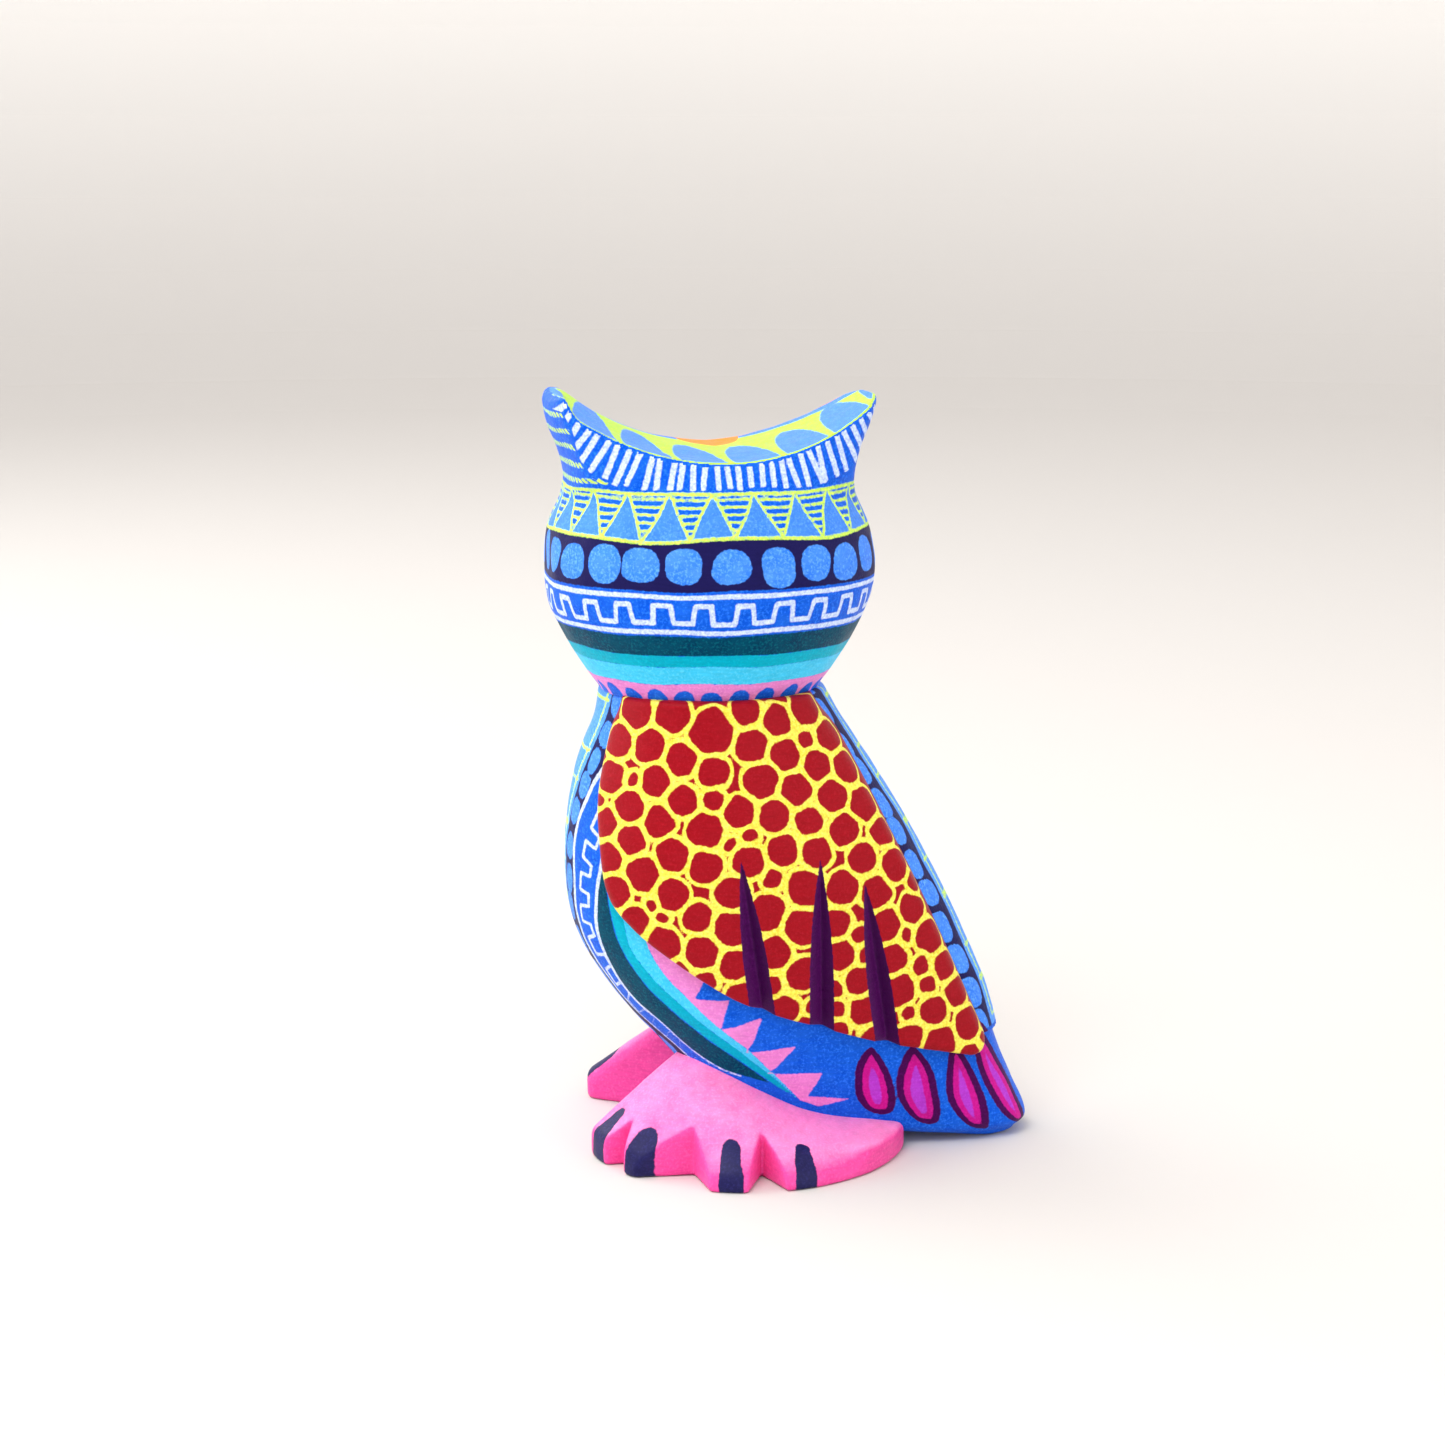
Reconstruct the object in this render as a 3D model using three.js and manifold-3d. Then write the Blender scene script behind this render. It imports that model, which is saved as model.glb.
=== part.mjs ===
// A carved and painted wooden owl in the Oaxacan manner: a torso with its tail, a turned head on a dowel,
// two wing slips and two fan-shaped feet, pegged and glued together.
// Millimetres, +Z up. The body faces -Y, its tail points to +Y and +X is its left side. The head looks over
// its right shoulder, towards -X. The origin is the middle of the bounding box, on the floor.
import * as THREE from "three";
import { mergeVertices } from "three/addons/utils/BufferGeometryUtils.js";
import Module from "manifold-3d";

const wasm = await Module();
wasm.setup();

// ---- driving dimensions ----

const GLUE_GAP = 0.3; // room between pieces that touch

// The last number of a torso or head section is its corner exponent: 2 is an ellipse, a higher one is
// squarer, and a lower one draws the ends to points.

// Torso sections from the floor up: height, front edge, widest place, back edge (all along Y), half width,
// corner exponent of the back half.
const TORSO_SECTIONS = [
  [0.8, 3.4, 9.0, 39.7, 7.2, 2.8],
  [2.6, 0.8, 7.0, 40.9, 8.8, 2.8],
  [7.0, -3.4, 5.0, 39.0, 10.6, 2.6],
  [13.0, -8.4, 3.5, 36.6, 12.6, 2.25],
  [21.0, -15.4, 1.5, 34.3, 14.6, 2.0],
  [30.0, -20.1, 0.0, 30.8, 15.6, 2.0],
  [40.0, -20.9, -0.3, 26.0, 15.5, 2.0],
  [50.0, -19.4, -0.6, 20.0, 14.6, 2.0],
  [57.0, -16.9, -1.2, 15.4, 13.6, 2.0],
  [61.0, -16.2, -1.5, 13.1, 13.2, 2.0],
];

// Head sections: height, half width between the ears, depth to the back, depth to the face, corner
// exponent.
const HEAD_SECTIONS = [
  [61.3, 14.5, 13.2, 12.8, 2.0],
  [64.0, 16.5, 15.0, 14.4, 2.0],
  [68.0, 19.0, 17.0, 16.2, 2.05],
  [73.0, 21.2, 18.5, 17.4, 2.1],
  [77.5, 21.8, 18.9, 17.7, 2.1],
  [82.0, 20.9, 18.2, 17.4, 2.1],
  [86.0, 19.1, 16.6, 16.4, 2.05],
  [88.6, 18.4, 15.4, 15.6, 2.0],
  [92.0, 19.4, 14.4, 14.6, 1.85],
  [96.0, 21.0, 13.8, 13.8, 1.6],
  [100.4, 22.0, 13.2, 13.2, 1.35],
];
const HEAD_Y = -1.9; // middle of the head, ahead of the neck by a little
const HEAD_TURN = THREE.MathUtils.degToRad(10); // short of a full quarter turn to the right
const CROWN_LOW = 91.4; // height of the middle of the saddle between the ears
const CROWN_RADIUS = 33.2;

// An eye is a ball set in a shallow dish. Both are centred on a line that leaves the face at start, turned
// outwards by tilt (radians); the dish's ball is in front of the face and the eye's is behind it.
const EYE = {
  start: [-16.6, 8.4, 79],
  tilt: 0.36,
  dishRadius: 13,
  dishAhead: 10.2,
  ballRadius: 5,
  ballBehind: 3.4,
};
const BEAK = {
  root: -14.2,
  height: 76.4,
  length: 9,
  rootRadius: 3.5,
  tipRadius: 0.35,
  tallness: 1.25,
  hook: 2.6,
};

const WING_THICKNESS = 2.0;
const WING_TOP = 60.7;
// The wing's outline, along Y and up Z: its back edge bows from the top to the tip, and its lower and front
// edge is a smooth curve through points, back to the top.
const WING_BACK_EDGE = { top: [11.3, WING_TOP], bow: [23.1, 41.6], low: [34.0, 15.4], tip: [34.6, 13.1] };
const WING_LOWER_EDGE = [
  [32.6, 13.4], [23.1, 15.9], [14.5, 18.5], [3.5, 22.4], [-5, 27.5], [-11, 31.9],
  [-14.3, 36.2], [-15.4, 43], [-15.3, 50], [-12.8, WING_TOP],
];
// Grooves cut down the wing: where each starts and where it leaves the lower edge, along Y and up Z.
const WING_GROOVES = [
  [[2.3, 41.5], [5.8, 18.0]],
  [[12.4, 41.2], [12.9, 15.5]],
  [[18.2, 37.4], [22.0, 13.0]],
];
const GROOVE = { width: 3.2, depth: 1.6 };

// A foot is a low cone with an upright rim. Its peak is ahead of the middle of its round sole, and its slope
// is lowered from a place just behind the peak to one near the heel, by a share of its height over the rim.
const FOOT = {
  radius: 21.5,
  rim: 3.6,
  top: 14.5,
  roundness: 1.15,
  middle: [4, 3],
  peak: [6, -3],
  chamfer: 0.5,
  lowered: { from: -4, to: 16, share: 0.7 },
};
const FOOT_RINGS = [1, 0.93, 0.8, 0.64, 0.48, 0.32, 0.16, 0]; // shares of the radius, rim to peak
// What is kept of the cone in plan: its inner edge, from the heel to the first toe, and then a way round
// outside it.
const FOOT_PLAN = [
  [8.4, 26], [8.4, 5], [4.5, -2], [8.0, -9.5],
  [11.5, -18.8], [11.5, -26], [40, -26], [40, 26],
];
// Notches between the toes: direction from the middle of the foot, half opening, distance of the inner
// end.
const TOE_NOTCHES = [[-53, 5, 19.0], [-23, 11, 17.2], [7.5, 6.5, 17.0]];
const RIGHT_FOOT_AHEAD = 2.0; // how much further forward the right foot stands

const NECK_DOWEL = { radius: 2.5, from: 51, to: 71, y: -1.6 };
const FOOT_DOWEL = { radius: 1.5, from: 4, to: 13.6, y: 5, z: 3.9 };
const WING_PEGS = [
  { radius: 1.1, from: 9, to: 15.4, y: -1, z: 52 },
  { radius: 1.1, from: 9, to: 16.0, y: 8.5, z: 33 },
];

// How finely the rounded bodies are divided, around and up.
const TORSO_MESH = [40, 20];
const HEAD_MESH = [40, 22];
const CROWN_SIDES = 72;
const FOOT_SIDES = 60;
const EYE_MESH = [20, 12];
const BAR_SIDES = 20;
const WELD = 1e-4; // vertices closer than this are one
const AMPLE = 60; // longer than any piece that a cutter of this size passes through

const COLOURS = {
  blue: 0x2f74dc,
  crimson: 0x8e1416,
  pink: 0xf870b4,
  orange: 0xf08c28,
  wood: 0xd9bd8e,
};

// ---- tools ----

function solid(geometry) {
  const bare = geometry.clone();
  bare.deleteAttribute("normal");
  bare.deleteAttribute("uv");
  const merged = mergeVertices(bare, WELD);
  return new wasm.Manifold(
    new wasm.Mesh({
      numProp: 3,
      vertProperties: new Float32Array(merged.getAttribute("position").array),
      triVerts: new Uint32Array(merged.getIndex().array),
    }),
  );
}

function geometryOf(body) {
  const mesh = body.getMesh();
  const geometry = new THREE.BufferGeometry();
  geometry.setAttribute("position", new THREE.BufferAttribute(mesh.vertProperties, 3));
  geometry.setIndex(new THREE.BufferAttribute(mesh.triVerts, 1));
  geometry.computeVertexNormals();
  return geometry;
}

function piece(name, body, colour, roughness = 0.6) {
  const material = new THREE.MeshStandardMaterial({ color: colour, roughness, metalness: 0 });
  const mesh = new THREE.Mesh(geometryOf(body), material);
  mesh.name = name;
  return mesh;
}

// A smooth curve through one column group of a section table, read by the same fraction for every group.
function columns(table, a, b, c) {
  const points = table.map((row) => new THREE.Vector3(row[a], row[b], row[c]));
  return new THREE.CatmullRomCurve3(points, false, "catmullrom", 0.5);
}

// A stack of horizontal sections as one closed body. rim(t, cosine, sine) gives the section's outline and
// its centre at the height fraction t, and the end caps close to the centre.
function loft(around, up, rim) {
  const geometry = new THREE.CylinderGeometry(1, 1, 1, around, up);
  const position = geometry.getAttribute("position");
  for (let i = 0; i < position.count; i++) {
    const x = position.getX(i);
    const y = -position.getZ(i);
    const radius = Math.hypot(x, y);
    const { centre, point } = rim(position.getY(i) + 0.5, x / (radius || 1), y / (radius || 1));
    const spot = centre.clone().lerp(point, radius);
    position.setXYZ(i, spot.x, spot.y, spot.z);
  }
  return solid(geometry);
}

function bentCosine(value, exponent) {
  return Math.sign(value) * Math.abs(value) ** (2 / exponent);
}

// A round bar along X, or along Z for an upright one, grown by room on its radius and at its ends.
function bar({ radius, from, to, y, z }, room = 0) {
  const length = to - from + 2 * room;
  const geometry = new THREE.CylinderGeometry(radius + room, radius + room, length, BAR_SIDES);
  const middle = (from + to) / 2;
  if (z === undefined) {
    geometry.rotateX(Math.PI / 2);
    geometry.translate(0, y, middle);
  } else {
    geometry.rotateZ(Math.PI / 2);
    geometry.translate(middle, y, z);
  }
  return solid(geometry);
}

function mirroredBar(spec, room = 0) {
  return bar({ ...spec, from: -spec.to, to: -spec.from }, room);
}

// ---- torso and tail ----

const torsoAlong = columns(TORSO_SECTIONS, 1, 2, 3);
const torsoAcross = columns(TORSO_SECTIONS, 0, 4, 5);

function torsoBody(grow = 0) {
  return loft(...TORSO_MESH, (t, cosine, sine) => {
    const along = torsoAlong.getPoint(t);
    const across = torsoAcross.getPoint(t);
    const reach = sine < 0 ? along.y - along.x : along.z - along.y;
    const exponent = sine < 0 ? 2 : across.z;
    return {
      centre: new THREE.Vector3(0, along.y, across.x),
      point: new THREE.Vector3(
        bentCosine(cosine, exponent) * (across.y + grow),
        along.y + bentCosine(sine, exponent) * (reach + grow),
        across.x,
      ),
    };
  });
}

// Distance from the middle plane to the torso's side at a place on it, with the torso grown by grow.
function torsoSide(y, z, grow) {
  let [below, above] = [0, 1];
  for (let step = 0; step < 20; step++) {
    const t = (below + above) / 2;
    [below, above] = torsoAcross.getPoint(t).x < z ? [t, above] : [below, t];
  }
  const along = torsoAlong.getPoint(below);
  const across = torsoAcross.getPoint(below);
  const reach = (y < along.y ? along.y - along.x : along.z - along.y) + grow;
  const exponent = y < along.y ? 2 : across.z;
  return (across.y + grow) * (1 - (Math.abs(y - along.y) / reach) ** exponent) ** (1 / exponent);
}

function makeTorso() {
  let body = torsoBody().subtract(bar(NECK_DOWEL, GLUE_GAP));
  for (const spec of [FOOT_DOWEL, ...WING_PEGS]) {
    body = body.subtract(bar(spec, GLUE_GAP)).subtract(mirroredBar(spec, GLUE_GAP));
  }
  return body;
}

// ---- head and beak, in a frame whose +Y runs between the ears and whose -X is the face ----

const headWidths = columns(HEAD_SECTIONS, 0, 1, 4);
const headDepths = columns(HEAD_SECTIONS, 2, 3, 3);

function headBody(grow = 0) {
  return loft(...HEAD_MESH, (t, cosine, sine) => {
    const { x: height, y: width, z: exponent } = headWidths.getPoint(t);
    const { x: back, y: face } = headDepths.getPoint(t);
    return {
      centre: new THREE.Vector3(0, 0, height),
      point: new THREE.Vector3(
        bentCosine(cosine, exponent) * ((cosine < 0 ? face : back) + grow),
        bentCosine(sine, exponent) * (width + grow),
        height,
      ),
    };
  });
}

function crownScoop() {
  const geometry = new THREE.CylinderGeometry(CROWN_RADIUS, CROWN_RADIUS, AMPLE, CROWN_SIDES);
  geometry.rotateZ(Math.PI / 2);
  geometry.translate(0, 0, CROWN_LOW + CROWN_RADIUS);
  return solid(geometry);
}

// A ball on the line that leaves the face through an eye, ahead of the face by a distance.
function eyeBall(side, radius, ahead) {
  const [x, y, z] = EYE.start;
  const outward = new THREE.Vector3(-Math.cos(EYE.tilt), side * Math.sin(EYE.tilt), 0);
  const centre = new THREE.Vector3(x, side * y, z).addScaledVector(outward, ahead);
  const geometry = new THREE.SphereGeometry(radius, ...EYE_MESH);
  geometry.translate(centre.x, centre.y, centre.z);
  return solid(geometry);
}

function makeHead() {
  let body = headBody().subtract(crownScoop());
  for (const side of [-1, 1]) {
    body = body
      .subtract(eyeBall(side, EYE.dishRadius, EYE.dishAhead))
      .add(eyeBall(side, EYE.ballRadius, -EYE.ballBehind));
  }
  const socket = { ...NECK_DOWEL, y: NECK_DOWEL.y - HEAD_Y };
  return body.subtract(bar(socket, GLUE_GAP));
}

// A cone that points out of the face and hooks down towards its tip.
function makeBeak() {
  const geometry = new THREE.CylinderGeometry(BEAK.tipRadius, BEAK.rootRadius, BEAK.length, BAR_SIDES, 6);
  geometry.rotateZ(Math.PI / 2);
  const position = geometry.getAttribute("position");
  for (let i = 0; i < position.count; i++) {
    const reach = 0.5 - position.getX(i) / BEAK.length;
    position.setZ(i, position.getZ(i) * BEAK.tallness - BEAK.hook * reach * reach);
  }
  geometry.translate(BEAK.root - BEAK.length / 2, 0, BEAK.height);
  return solid(geometry).subtract(headBody(GLUE_GAP));
}

// ---- left wing ----

function wingOutline() {
  const { top, bow, low, tip } = WING_BACK_EDGE;
  const [first, ...rest] = WING_LOWER_EDGE;
  const shape = new THREE.Shape();
  shape.moveTo(...top);
  shape.quadraticCurveTo(...bow, ...low);
  shape.quadraticCurveTo(...tip, ...first);
  shape.splineThru(rest.map(([y, z]) => new THREE.Vector2(y, z)));
  shape.closePath();
  return shape;
}

function wingBlank() {
  const settings = { depth: AMPLE, bevelEnabled: false, curveSegments: 14 };
  const geometry = new THREE.ExtrudeGeometry(wingOutline(), settings);
  // Outline X and Y become Y and Z, and the extrusion runs along X.
  geometry.rotateX(Math.PI / 2);
  geometry.rotateZ(Math.PI / 2);
  return solid(geometry);
}

// A three-sided spike, pointed at its upper end, that follows the wing's surface with one corner under it.
function grooveCutter([[startY, startZ], [endY, endZ]]) {
  const geometry = new THREE.ConeGeometry(1, 1, 3, 8);
  geometry.rotateY(-Math.PI / 2);
  const acrossAtSurface = 1 / Math.sqrt(3); // half width of the triangle through its centre, corner radius 1
  const widthScale = GROOVE.width / 2 / acrossAtSurface;
  const position = geometry.getAttribute("position");
  for (let i = 0; i < position.count; i++) {
    const down = 0.5 - position.getY(i);
    const y = THREE.MathUtils.lerp(startY, endY, down);
    const z = THREE.MathUtils.lerp(startZ, endZ, down);
    const x = torsoSide(y, z, GLUE_GAP + WING_THICKNESS) + position.getX(i) * GROOVE.depth;
    position.setXYZ(i, x, y - position.getZ(i) * widthScale, z);
  }
  return solid(geometry);
}

function makeWing() {
  let body = wingBlank()
    .intersect(torsoBody(GLUE_GAP + WING_THICKNESS))
    .subtract(torsoBody(GLUE_GAP));
  for (const groove of WING_GROOVES) {
    body = body.subtract(grooveCutter(groove));
  }
  for (const peg of WING_PEGS) {
    body = body.subtract(bar(peg, GLUE_GAP));
  }
  return body;
}

// ---- feet, as the left one ----

function footFan() {
  const { radius, rim, top, roundness, middle, peak, chamfer, lowered } = FOOT;
  const profile = [[0, 0], [radius - chamfer, 0], [radius, chamfer]];
  for (const share of FOOT_RINGS) {
    profile.push([radius * share, rim + (top - rim) * (1 - share ** roundness)]);
  }
  const geometry = new THREE.LatheGeometry(profile.map(([r, z]) => new THREE.Vector2(r, z)), FOOT_SIDES);
  geometry.rotateX(Math.PI / 2);
  const position = geometry.getAttribute("position");
  for (let i = 0; i < position.count; i++) {
    const share = Math.hypot(position.getX(i), position.getY(i)) / radius;
    const shiftX = THREE.MathUtils.lerp(peak[0], middle[0], share);
    const shiftY = THREE.MathUtils.lerp(peak[1], middle[1], share);
    const y = position.getY(i) + shiftY;
    const overRim = Math.max(position.getZ(i) - rim, 0);
    const drop = overRim * lowered.share * THREE.MathUtils.smoothstep(y, lowered.from, lowered.to);
    position.setXYZ(i, position.getX(i) + shiftX, y, position.getZ(i) - drop);
  }
  return solid(geometry);
}

// An upright prism over a plan outline, from below the floor to above the foot.
function upright(points) {
  const shape = new THREE.Shape(points.map(([x, y]) => new THREE.Vector2(x, y)));
  const geometry = new THREE.ExtrudeGeometry(shape, { depth: AMPLE, bevelEnabled: false });
  geometry.translate(0, 0, -AMPLE / 2);
  return solid(geometry);
}

function notchCutter([direction, halfOpening, inner]) {
  const onCircle = (angle, distance) => {
    const radians = THREE.MathUtils.degToRad(angle);
    return [FOOT.middle[0] + distance * Math.cos(radians), FOOT.middle[1] + distance * Math.sin(radians)];
  };
  const outer = FOOT.radius + 1;
  return upright([
    onCircle(direction, inner),
    onCircle(direction - halfOpening, outer),
    onCircle(direction + halfOpening, outer),
  ]);
}

function makeFoot(ahead) {
  let body = footFan().intersect(upright(FOOT_PLAN));
  for (const notch of TOE_NOTCHES) {
    body = body.subtract(notchCutter(notch));
  }
  return body.translate([0, -ahead, 0]).subtract(torsoBody(GLUE_GAP)).subtract(bar(FOOT_DOWEL, GLUE_GAP));
}

// ---- assembly ----

const owl = new THREE.Group();

// Adds a left piece and the mirror image of mirrored, which is drawn on the left side too.
function addPair(name, body, colour, mirrored = body) {
  const left = piece(name + "_left", body, colour);
  const right = piece(name + "_right", mirrored, colour);
  right.scale.x = -1;
  owl.add(left, right);
}

owl.add(piece("torso", makeTorso(), COLOURS.blue));
owl.add(piece("neck_dowel", bar(NECK_DOWEL), COLOURS.wood, 0.8));

const headFrame = new THREE.Group();
headFrame.position.y = HEAD_Y;
headFrame.rotation.z = HEAD_TURN;
headFrame.add(piece("head", makeHead(), COLOURS.blue), piece("beak", makeBeak(), COLOURS.orange));
owl.add(headFrame);

addPair("wing", makeWing(), COLOURS.crimson);
addPair("foot", makeFoot(0), COLOURS.pink, makeFoot(RIGHT_FOOT_AHEAD));
addPair("foot_dowel", bar(FOOT_DOWEL), COLOURS.wood);
WING_PEGS.forEach((peg, i) => addPair("wing_peg_" + ["upper", "lower"][i], bar(peg), COLOURS.wood));

// The origin goes to the middle of the bounding box, on the floor.
const box = new THREE.Box3().setFromObject(owl, true);
const middle = box.getCenter(new THREE.Vector3());
const part = new THREE.Group();
owl.position.set(-middle.x, -middle.y, -box.min.z);
part.add(owl);

export default part;
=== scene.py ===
"""The looks of a carved and painted wooden owl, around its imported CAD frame.

Each carved piece is a field sampled on a grid: negative in the wood, positive outside, about a distance
near the surface. The field is meshed, and what is painted on the piece goes onto the mesh as attributes,
each the distance from a vertex to the edge of one kind of paint, in millimetres and negative inside it.
The materials turn those distances into paint.

Sizes are in millimetres in the frame that the carving was drawn in. It differs from the CAD frame only by
a shift along Y, which is read from the neck dowel.
"""

import math

import bpy
import numpy as np
import openvdb
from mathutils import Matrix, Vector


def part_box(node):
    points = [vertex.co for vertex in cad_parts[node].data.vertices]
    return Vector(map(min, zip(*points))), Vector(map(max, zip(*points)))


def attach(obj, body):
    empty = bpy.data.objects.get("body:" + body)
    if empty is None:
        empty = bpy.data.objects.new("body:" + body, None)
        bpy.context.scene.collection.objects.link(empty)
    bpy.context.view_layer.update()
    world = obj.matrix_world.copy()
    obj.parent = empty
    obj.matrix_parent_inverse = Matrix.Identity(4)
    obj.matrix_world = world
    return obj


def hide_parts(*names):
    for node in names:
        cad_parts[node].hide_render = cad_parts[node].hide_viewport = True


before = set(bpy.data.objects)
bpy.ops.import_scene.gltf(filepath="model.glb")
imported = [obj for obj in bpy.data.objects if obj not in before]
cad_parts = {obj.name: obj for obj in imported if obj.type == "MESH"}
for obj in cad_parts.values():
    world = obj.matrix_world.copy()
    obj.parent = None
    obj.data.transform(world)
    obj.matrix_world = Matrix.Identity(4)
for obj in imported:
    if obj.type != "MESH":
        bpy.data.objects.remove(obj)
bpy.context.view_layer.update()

MM = 0.001

# ---- sizes of the carving ----

# Torso from the floor up: height, front edge, widest place, back edge (all along Y), half width, and the
# corner exponent of the back half, where 2 is an ellipse and a higher one is squarer.
TORSO_SECTIONS = [
    (0.8, 3.4, 9.0, 39.7, 7.2, 2.8),
    (2.6, 0.8, 7.0, 40.9, 8.8, 2.8),
    (7.0, -3.4, 5.0, 39.0, 10.6, 2.6),
    (13.0, -8.4, 3.5, 36.6, 12.6, 2.25),
    (21.0, -15.4, 1.5, 34.3, 14.6, 2.0),
    (30.0, -20.1, 0.0, 30.8, 15.6, 2.0),
    (40.0, -20.9, -0.3, 26.0, 15.5, 2.0),
    (50.0, -19.4, -0.6, 20.0, 14.6, 2.0),
    (57.0, -16.9, -1.2, 15.4, 13.6, 2.0),
    (61.0, -16.2, -1.5, 13.1, 13.2, 2.0),
]
TORSO_TOP = 61.0
# The flat underside's height at two places along Y: it is higher under the body than under the tail.
TORSO_FOOT = ((22.0, 1.7), (36.0, 0.1))

# Head: height, half width between the ears, depth to the back, depth to the face.
HEAD_SECTIONS = [
    (61.3, 14.5, 13.2, 12.8),
    (64.0, 16.5, 15.0, 14.4),
    (68.0, 19.0, 17.0, 16.2),
    (73.0, 21.2, 18.5, 17.4),
    (77.5, 21.8, 18.9, 17.7),
    (82.0, 20.9, 18.2, 17.4),
    (86.0, 19.2, 16.6, 16.4),
    (88.4, 18.6, 15.4, 15.6),
    (92.0, 19.4, 14.4, 14.6),
    (96.0, 21.0, 13.8, 13.8),
    (100.4, 22.2, 13.2, 13.2),
]
HEAD_Y = -1.9
HEAD_TURN = math.radians(10)
HEAD_FOOT = 60.7
CROWN_LOW = 91.4
CROWN_RADIUS = 33.2
CROWN_AXIS = CROWN_LOW + CROWN_RADIUS
EAR_ENDS = (-20.95, 21.4)  # the left ear, then the right one
EAR_TOP = 99.35
# The left ear's tip is cut off slanting: (y, z) of a point on the cut, and the way that the cut faces.
EAR_CUT = (-20.8, 98.5)
EAR_CUT_WAY = (-0.63, 0.77)
EYE_START = (-16.6, 8.4, 79.0)
EYE_TILT = 0.36
# Radius of the ball that hollows out an eye's dish, and how far its middle is ahead of the face. Then the
# same for the eyeball.
EYE_DISH = (13.0, 10.2)
EYE_BALL = (5.0, -3.4)
BEAK = {
    "root": -14.2, "height": 76.4, "length": 9.0, "radius": 3.5, "tip": 0.5, "tall": 1.25, "hook": 2.6,
}

WING_TOP = 61.2
WING_BACK_EDGE = {"top": (11.3, WING_TOP), "bow": (23.1, 41.6), "low": (34.0, 15.4), "tip": (34.6, 13.1)}
WING_LOWER_EDGE = [
    (32.6, 13.4), (23.1, 15.9), (14.5, 18.5), (3.5, 22.4), (-5.0, 27.5), (-11.0, 31.9),
    (-14.3, 36.2), (-15.4, 43.0), (-15.3, 50.0), (-12.8, WING_TOP),
]
WING_GROOVES = [((2.3, 41.5), (5.9, 16.0)), ((12.4, 41.2), (12.9, 14.0)), ((18.2, 37.4), (22.0, 12.0))]
GROOVE_HALF_WIDTH = 1.55
GROOVE_DEPTH = 1.35
WING_THICKNESS = (1.5, 0.8)  # at the shoulder, and how much more it is lower down

FOOT_RADIUS = 21.5
FOOT_RIM = 3.6
FOOT_TOP = 14.5
FOOT_MIDDLE = np.array((4.0, 3.0))
FOOT_PEAK = np.array((6.0, -3.0))
FOOT_PLAN = [
    (8.4, 26.0), (8.4, 5.0), (4.5, -2.0), (8.0, -9.5),
    (11.5, -18.8), (11.5, -26.0), (40.0, -26.0), (40.0, 26.0),
]
# Notches between the toes: direction of the inner end, openings towards the front and towards the back, and
# distance of the inner end.
TOE_NOTCHES = [(-53.6, 5.0, 7.0, 18.3), (-24.0, 17.8, 12.0, 16.6), (7.5, 6.8, 6.8, 15.5)]
# Claws: direction and distance of the inner end, direction of the outer end, half widths at both.
CLAWS = [
    (-63.0, 17.8, -63.8, 1.0, 1.9), (-41.5, 17.9, -44.3, 1.7, 1.3),
    (-6.0, 17.2, -4.3, 1.2, 1.65), (23.5, 17.3, 19.3, 1.0, 1.5),
]
# The right foot's front claw, which laps onto the toe's inner crest. It has one half width.
RIGHT_FRONT_CLAW = (-66.0, 18.0, -69.0, 1.4)
CLAW_REACH = FOOT_RADIUS + 3  # claws and notches run on past the rim to here
TOE_BEVEL = (1.5, 1.25)  # height of the bevelled front of the toes at the rim, and its slope
RIGHT_FOOT_AHEAD = 2.0

NECK_DOWEL_Y = -1.6


# ---- curves and fields ----

def smooth_rows(rows, samples=400):
    """Rows of numbers joined by one smooth curve through them all, as many more rows."""
    rows = np.array(rows, float)
    padded = np.vstack([2 * rows[0] - rows[1], rows, 2 * rows[-1] - rows[-2]])
    place = np.linspace(0, len(rows) - 1, samples)
    span = np.minimum(place.astype(int), len(rows) - 2)
    t = (place - span)[:, None]
    a, b, c, d = (padded[span + i] for i in range(4))
    return b + 0.5 * (t * (c - a) + t**2 * (2 * a - 5 * b + 4 * c - d) + t**3 * (3 * b - a - 3 * c + d))


def bend(start, control, end, samples=24):
    """A curve from start to end, pulled towards control."""
    t = np.linspace(0, 1, samples)[:, None]
    return (1 - t)**2 * np.array(start) + 2 * t * (1 - t) * np.array(control) + t**2 * np.array(end)


def at_height(rows, z):
    return [np.interp(z, rows[:, 0], rows[:, i]) for i in range(1, rows.shape[1])]


def smoothstep(low, high, value):
    t = np.clip((value - low) / (high - low), 0, 1)
    return t * t * (3 - 2 * t)


def soft_max(a, b, soft):
    """The larger of two fields, with the crease between them rounded."""
    share = np.clip(0.5 + 0.5 * (a - b) / soft, 0, 1)
    return b + (a - b) * share + soft * share * (1 - share)


def soft_min(a, b, soft):
    return -soft_max(-a, -b, soft)


def to_distance(field, step):
    """A field whose zero is the surface, scaled to be a distance near it."""
    slope = np.sqrt(sum(g * g for g in np.gradient(field, step)))
    return field / np.maximum(slope, 1e-3)


def wobble(points, size, seed):
    """Smooth noise from -1 to 1 with features of about that size."""
    rng = np.random.default_rng(seed)
    total = np.zeros(len(points))
    for _ in range(6):
        direction = rng.normal(size=points.shape[1])
        direction *= 2 * math.pi / (size * rng.uniform(0.7, 1.5) * np.linalg.norm(direction))
        total += np.sin(points @ direction + rng.uniform(0, 2 * math.pi))
    return total / 3.5


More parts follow.
